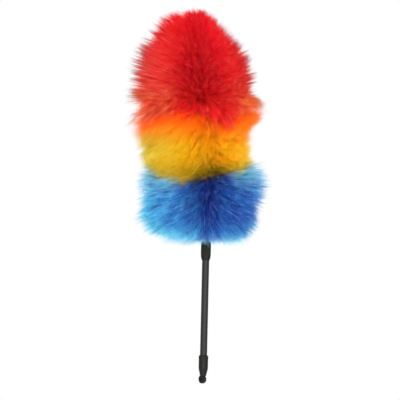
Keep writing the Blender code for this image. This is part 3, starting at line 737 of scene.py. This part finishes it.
def fibre_mesh(name, path, tone, reach, radius):
    """One piece of fibres, with its map and with the place along the strand at each corner."""
    count, steps, _ = path.shape
    verts = fibre_rings(path, radius)
    loops, sizes = fibre_faces(count, steps)
    mesh = bpy.data.meshes.new(name)
    mesh.vertices.add(verts.shape[0] * verts.shape[1])
    mesh.vertices.foreach_set("co", verts.astype(np.float32).ravel())
    mesh.loops.add(len(loops))
    mesh.loops.foreach_set("vertex_index", loops.astype(np.int32))
    mesh.polygons.add(len(sizes))
    starts = np.concatenate([[0], np.cumsum(sizes)[:-1]])
    mesh.polygons.foreach_set("loop_start", starts.astype(np.int32))
    mesh.polygons.foreach_set("use_smooth", np.ones(len(sizes), bool))
    layer = mesh.uv_layers.new(name="OFBake")
    layer.data.foreach_set("uv", fibre_map(tone)[loops].astype(np.float32).ravel())
    share = np.concatenate([np.repeat(reach[:, :-1], 3, axis=1), reach[:, -1:]], axis=1)
    stored = mesh.attributes.new("reach", "FLOAT", "POINT")
    stored.data.foreach_set("value", share.astype(np.float32).ravel())
    mesh.update(calc_edges=True)
    mesh.validate()
    return placed(name, mesh)


def placed(name, data):
    """An object of the scene with the given data."""
    obj = bpy.data.objects.new(name, data)
    bpy.context.scene.collection.objects.link(obj)
    return obj


def node_tree(name):
    """A new material, its nodes and its main shader."""
    made = bpy.data.materials.new(name)
    made.use_nodes = True
    return made, made.node_tree, made.node_tree.nodes["Principled BSDF"]


def ramp(tree, stops, source):
    """A colour ramp over a value."""
    node = tree.nodes.new("ShaderNodeValToRGB")
    band = node.color_ramp
    band.elements[0].position, band.elements[0].color = stops[0][0], (*stops[0][1], 1)
    band.elements[1].position, band.elements[1].color = stops[-1][0], (*stops[-1][1], 1)
    for place, colour in stops[1:-1]:
        band.elements.new(place).color = (*colour, 1)
    tree.links.new(source, node.inputs["Fac"])
    return node.outputs["Color"]


def noise(tree, scale, detail, source):
    """Noise over places."""
    node = tree.nodes.new("ShaderNodeTexNoise")
    node.inputs["Scale"].default_value = scale
    node.inputs["Detail"].default_value = detail
    tree.links.new(source, node.inputs["Vector"])
    return node.outputs["Fac"]


def line_noise(tree, scale, detail, source):
    """Noise over a single value."""
    node = tree.nodes.new("ShaderNodeTexNoise")
    node.noise_dimensions = "1D"
    node.inputs["Scale"].default_value = scale
    node.inputs["Detail"].default_value = detail
    tree.links.new(source, node.inputs["W"])
    return node.outputs["Fac"]


def joined(tree, operation, one, other):
    """Sum or product of two values."""
    node = tree.nodes.new("ShaderNodeMath")
    node.operation = operation
    tree.links.new(one, node.inputs[0])
    tree.links.new(other, node.inputs[1])
    return node.outputs[0]


def weighted(tree, amount, weight):
    """An amount times its weight, or as it is where it has none."""
    return joined(tree, "MULTIPLY", amount, weight) if weight else amount


def smooth_step(tree, value, none, full, most=1.0):
    """A value turned into a share that rises smoothly from none to full."""
    span = tree.nodes.new("ShaderNodeMapRange")
    span.interpolation_type = "SMOOTHSTEP"
    span.inputs["From Min"].default_value = none
    span.inputs["From Max"].default_value = full
    span.inputs["To Max"].default_value = most
    tree.links.new(value, span.inputs["Value"])
    return span.outputs[0]


def mapped(tree, value, low, high):
    """A value from 0 to 1 laid over a range."""
    span = tree.nodes.new("ShaderNodeMapRange")
    span.inputs["To Min"].default_value = low
    span.inputs["To Max"].default_value = high
    tree.links.new(value, span.inputs["Value"])
    return span.outputs[0]


def tinted(tree, tone, tint, value, full, none, most, weight=None):
    """A tone that turns into another as a value goes from none to full, where a weight lets it."""
    mix = tree.nodes.new("ShaderNodeMix")
    mix.data_type = "RGBA"
    tree.links.new(weighted(tree, smooth_step(tree, value, none, full, most), weight), mix.inputs[0])
    tree.links.new(tone, mix.inputs[6])
    mix.inputs[7].default_value = (*tint, 1)
    return mix.outputs[2]


def mixed_shaders(tree, amount, one, other):
    """Two shaders mixed by an amount, which is a number or a value of the tree."""
    mix = tree.nodes.new("ShaderNodeMixShader")
    if isinstance(amount, float):
        mix.inputs["Fac"].default_value = amount
    else:
        tree.links.new(amount, mix.inputs["Fac"])
    tree.links.new(one, mix.inputs[1])
    tree.links.new(other, mix.inputs[2])
    return mix.outputs[0]


def round_weights(tree, place):
    """How far a blend counts at a point, from 0 to 1, by its place round the core."""
    flat = tree.nodes.new("ShaderNodeVectorMath")
    flat.operation = "MULTIPLY"
    flat.inputs[1].default_value = (1, 1, 0)
    tree.links.new(place, flat.inputs[0])
    unit = tree.nodes.new("ShaderNodeVectorMath")
    unit.operation = "NORMALIZE"
    tree.links.new(flat.outputs[0], unit.inputs[0])
    weights = {"all": None}
    for where, (aside, none, full) in BLEND_PLACES.items():
        facing = FRONT_TURN + math.radians(aside)
        along = tree.nodes.new("ShaderNodeVectorMath")
        along.operation = "DOT_PRODUCT"
        along.inputs[1].default_value = (math.cos(facing), math.sin(facing), 0)
        tree.links.new(unit.outputs[0], along.inputs[0])
        weights[where] = smooth_step(tree, along.outputs["Value"], none, full)
    return weights


def fibre_tone(tree, colour, first, last):
    """Colour of the fibres of one piece, which holds the shares from first to last along the core."""
    uv = tree.nodes.new("ShaderNodeUVMap")
    uv.uv_map = "OFBake"
    split = tree.nodes.new("ShaderNodeSeparateXYZ")
    tree.links.new(uv.outputs["UV"], split.inputs[0])
    depth, strand = split.outputs["X"], split.outputs["Y"]
    place = tree.nodes.new("ShaderNodeTexCoord").outputs["Object"]
    clouds = noise(tree, CLOUD_SCALE, 3, place)
    strands = line_noise(tree, STRAND_SCALE, 2, strand)
    shift = tree.nodes.new("ShaderNodeMath")
    shift.operation = "MULTIPLY_ADD"
    tree.links.new(joined(tree, "ADD", clouds, strands), shift.inputs[0])
    shift.inputs[1].default_value = STREAKS[colour]
    shift.inputs[2].default_value = -STREAK_MIDDLE * STREAKS[colour]
    tone = ramp(tree, FIBRE_COLOURS[colour], joined(tree, "ADD", depth, shift.outputs[0]))

    height = tree.nodes.new("ShaderNodeSeparateXYZ")
    tree.links.new(place, height.inputs[0])
    # second tones by height; the olive one at the yellow's low edge is painted shade
    for tint, full, none, most in BORDER_TONES_AND_SHADE.get(colour, []):
        tone = tinted(tree, tone, tint, height.outputs["Z"], full, none, most)
    order = mapped(tree, strand, first, last)
    weights = round_weights(tree, place)
    # blends along the core, some of them painted shade or painted light
    for tint, full, none, most, where in BLENDS_AND_PAINTED_LIGHT[colour]:
        tone = tinted(tree, tone, tint, order, full, none, most, weights[where])

    reach = tree.nodes.new("ShaderNodeAttribute")
    reach.attribute_name = "reach"
    # painted light on the tips
    tint, start, most, shares, where = SIDE_TIPS_PAINTED_LIGHT[colour]
    near = weighted(tree, smooth_step(tree, order, *shares), weights[where])
    tone = tinted(tree, tone, tint, reach.outputs["Fac"], 1.0, start, most, near)
    if colour in DUSKY_TIPS:
        tint, start, most, scale, limits = DUSKY_TIPS[colour]
        chosen = smooth_step(tree, line_noise(tree, scale, 1, strand), *limits)
        chosen = weighted(tree, chosen, weights["sides"])
        tone = tinted(tree, tone, tint, reach.outputs["Fac"], 1.0, start, most, chosen)
    # painted glints: single fibres turned pale
    none, full = PAINTED_GLINT_RANGE
    single = line_noise(tree, PAINTED_GLINT_SCALE, 0, strand)
    return tinted(tree, tone, PAINTED_GLINT_FIBRES[colour], single, full, none, PAINTED_GLINT_MOST[colour])


def fibre_surface(colour, name, first, last):
    """Fine translucent plastic fibre in its own hues: painted shade deep at the root, saturated along its
    length, painted sheen pale at the tip.
    """
    made, tree, shader = node_tree(name)
    tone = fibre_tone(tree, colour, first, last)
    tree.links.new(tone, shader.inputs["Base Color"])
    shader.inputs["Roughness"].default_value = FIBRE_ROUGHNESS
    shader.inputs["Specular IOR Level"].default_value = FIBRE_GLOSS[colour]
    glow = tree.nodes.new("ShaderNodeBsdfTranslucent")
    tree.links.new(tone, glow.inputs["Color"])
    surface = mixed_shaders(tree, TRANSLUCENT[colour], shader.outputs[0], glow.outputs[0])
    tree.links.new(surface, tree.nodes["Material Output"].inputs["Surface"])
    return made


def backing_surface(colour):
    """The matted roots of the fibres, darkened as painted shade of the dense inside."""
    made, tree, shader = node_tree(f"{colour}_backing")
    place = tree.nodes.new("ShaderNodeTexCoord").outputs["Object"]
    stops = FIBRE_COLOURS[colour]
    dark = tuple(BACKING_PAINTED_SHADE * c for c in stops[0][1])
    first, last = BACKING_STOPS
    tone = ramp(tree, [(first, dark), (last, stops[1][1])], noise(tree, BACKING_SCALE, 4, place))
    tree.links.new(tone, shader.inputs["Base Color"])
    shader.inputs["Roughness"].default_value = BACKING_ROUGHNESS
    return made


def core_point(height):
    """The middle of the core at a height."""
    return math.cos(FULLER_TURN) * drift(height), math.sin(FULLER_TURN) * drift(height), height


def backing(colour, surface, chance):
    """The dense inside of a section, which shows only in the partings."""
    section = SECTIONS[colour]
    around, rows = BACKING_AROUND, BACKING_ROWS
    share = np.linspace(0, 1, rows)[:, None]
    azimuth = np.linspace(0, math.tau, around, endpoint=False)[None, :]
    share, azimuth = np.broadcast_arrays(share, azimuth)
    rough = chance.normal(0, BACKING_ROUGH, share.shape)
    points = along_strand(section, share, azimuth, BACKING_SHARE + rough)
    low, length, _ = section
    ends = np.array([core_point(low), core_point(low + length)])
    verts = np.concatenate([points.reshape(-1, 3), ends])
    faces = []
    for r in range(rows - 1):
        for c in range(around):
            d = (c + 1) % around
            faces.append((r * around + c, r * around + d, (r + 1) * around + d, (r + 1) * around + c))
    for c in range(around):
        d = (c + 1) % around
        faces.append((len(verts) - 2, d, c))
        faces.append((len(verts) - 1, (rows - 1) * around + c, (rows - 1) * around + d))
    mesh = bpy.data.meshes.new(f"backing_{colour}")
    mesh.from_pydata([tuple(v) for v in verts], [], faces)
    mesh.shade_smooth()
    mesh.materials.append(surface)
    obj = placed(f"backing_{colour}", mesh)
    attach(obj, "head")


def fill_section(colour, seed):
    """All the fibres of a section, in pieces along the core, and its backing."""
    chance = np.random.default_rng(seed)
    path, tone, reach = fibre_paths(colour, chance)
    radius = FIBRE_R * chance.uniform(*FIBRE_R_VARIES, len(path))
    pieces = math.ceil(len(path) / PIECE_FIBRES)
    for i in range(pieces):
        part = slice(i * len(path) // pieces, (i + 1) * len(path) // pieces)
        obj = fibre_mesh(f"fibres_{colour}_{i}", path[part], tone[part], reach[part], radius[part])
        surface = fibre_surface(colour, f"{colour}_fibre_{i}", i / pieces, (i + 1) / pieces)
        obj.data.materials.append(surface)
        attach(obj, "head")
        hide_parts(f"pile_{colour}")
    backing(colour, backing_surface(colour), chance)


def grained(name, colour, roughness, grain, metal):
    """A moulded, painted or drawn surface with a fine grain in its colour, gloss and relief."""
    made, tree, shader = node_tree(name)
    place = tree.nodes.new("ShaderNodeTexCoord").outputs["Object"]
    fine = noise(tree, grain, 3, place)
    dark = tuple(GRAIN_DARKER * c for c in colour)
    light = tuple(GRAIN_LIGHTER * c for c in colour)
    first, last = GRAIN_STOPS
    tree.links.new(ramp(tree, [(first, dark), (last, light)], fine), shader.inputs["Base Color"])
    varied = mapped(tree, fine, roughness - GRAIN_ROUGHNESS, roughness + GRAIN_ROUGHNESS)
    tree.links.new(varied, shader.inputs["Roughness"])
    shader.inputs["Specular IOR Level"].default_value = HANDLE_GLOSS
    shader.inputs["Metallic"].default_value = metal
    bump = tree.nodes.new("ShaderNodeBump")
    bump.inputs["Strength"].default_value, bump.inputs["Distance"].default_value = GRAIN_BUMP
    tree.links.new(fine, bump.inputs["Height"])
    tree.links.new(bump.outputs[0], shader.inputs["Normal"])
    return made


def dress_handle():
    """Finish of the solids that stay in view or inside."""
    for finish, names in FINISHED_NODES.items():
        surface = grained(finish, *FINISHES[finish])
        for name in names:
            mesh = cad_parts[name].data
            mesh.materials.clear()
            mesh.materials.append(surface)


def view_axes():
    """Direction of the view, its right, and the middle of what it shows."""
    forward = Vector((-math.sin(VIEW_AZIMUTH), math.cos(VIEW_AZIMUTH), 0))
    right = Vector((math.cos(VIEW_AZIMUTH), math.sin(VIEW_AZIMUTH), 0))
    sideways, up = VIEW_CENTRE
    return forward, right, right * sideways + Vector((0, 0, up))


def studio_lights():
    """Soft square lights that face the middle of the view."""
    forward, right, centre = view_axes()
    for name, ((sideways, back, up), side, power) in LIGHTS.items():
        data = bpy.data.lights.new(name, "AREA")
        data.shape = "RECTANGLE"
        data.size = side
        data.size_y = side
        data.energy = power
        lamp = placed(name, data)
        lamp.location = right * sideways + forward * back + Vector((0, 0, up))
        lamp.rotation_euler = (centre - lamp.location).to_track_quat("-Z", "Y").to_euler()


def studio_sky():
    """Even white light from all round, plain white where the camera sees it."""
    world = bpy.data.worlds.new("studio")
    bpy.context.scene.world = world
    world.use_nodes = True
    tree = world.node_tree
    sky = tree.nodes["Background"]
    sky.inputs["Color"].default_value = WHITE
    sky.inputs["Strength"].default_value = SKY_STRENGTH
    seen = tree.nodes.new("ShaderNodeBackground")
    seen.inputs["Color"].default_value = WHITE
    seen.inputs["Strength"].default_value = SEEN_SKY_STRENGTH
    path = tree.nodes.new("ShaderNodeLightPath")
    surface = mixed_shaders(tree, path.outputs["Is Camera Ray"], sky.outputs[0], seen.outputs[0])
    tree.links.new(surface, tree.nodes["World Output"].inputs["Surface"])


def studio_floor():
    """A wide pale floor that turns plain white away from the object."""
    mesh = bpy.data.meshes.new("floor")
    angles = [math.tau * i / FLOOR_CORNERS for i in range(FLOOR_CORNERS)]
    rim = [(FLOOR_R * math.cos(angle), FLOOR_R * math.sin(angle), FLOOR_Z) for angle in angles]
    mesh.from_pydata(rim, [], [tuple(range(FLOOR_CORNERS))])
    made, tree, shader = node_tree("floor")
    shader.inputs["Base Color"].default_value = FLOOR_TONE
    shader.inputs["Roughness"].default_value = FLOOR_ROUGHNESS
    place = tree.nodes.new("ShaderNodeTexCoord").outputs["Object"]
    far = tree.nodes.new("ShaderNodeVectorMath")
    far.operation = "LENGTH"
    tree.links.new(place, far.inputs[0])
    fade = smooth_step(tree, far.outputs["Value"], *FLOOR_FADE)
    pale = tree.nodes.new("ShaderNodeEmission")
    surface = mixed_shaders(tree, fade, shader.outputs[0], pale.outputs[0])
    tree.links.new(surface, tree.nodes["Material Output"].inputs["Surface"])
    mesh.materials.append(made)
    placed("floor", mesh)


def studio_camera():
    """The view of the whole duster from its front."""
    forward, _, centre = view_axes()
    data = bpy.data.cameras.new("camera")
    data.sensor_fit = "HORIZONTAL"
    data.angle = 2 * math.atan(FRAME_WIDTH / 2 / VIEW_DISTANCE)
    data.clip_end = VIEW_END
    camera = placed("camera", data)
    camera.location = centre - forward * VIEW_DISTANCE
    look = forward.to_track_quat("-Z", "Y")
    camera.rotation_mode = "QUATERNION"
    camera.rotation_quaternion = look @ Matrix.Rotation(VIEW_ROLL, 3, "Z").to_quaternion()
    bpy.context.scene.camera = camera
    bpy.context.scene.view_settings.view_transform = "Standard"


for section_colour, section_seed in SEEDS.items():
    fill_section(section_colour, section_seed)
dress_handle()
studio_lights()
studio_sky()
studio_floor()
studio_camera()
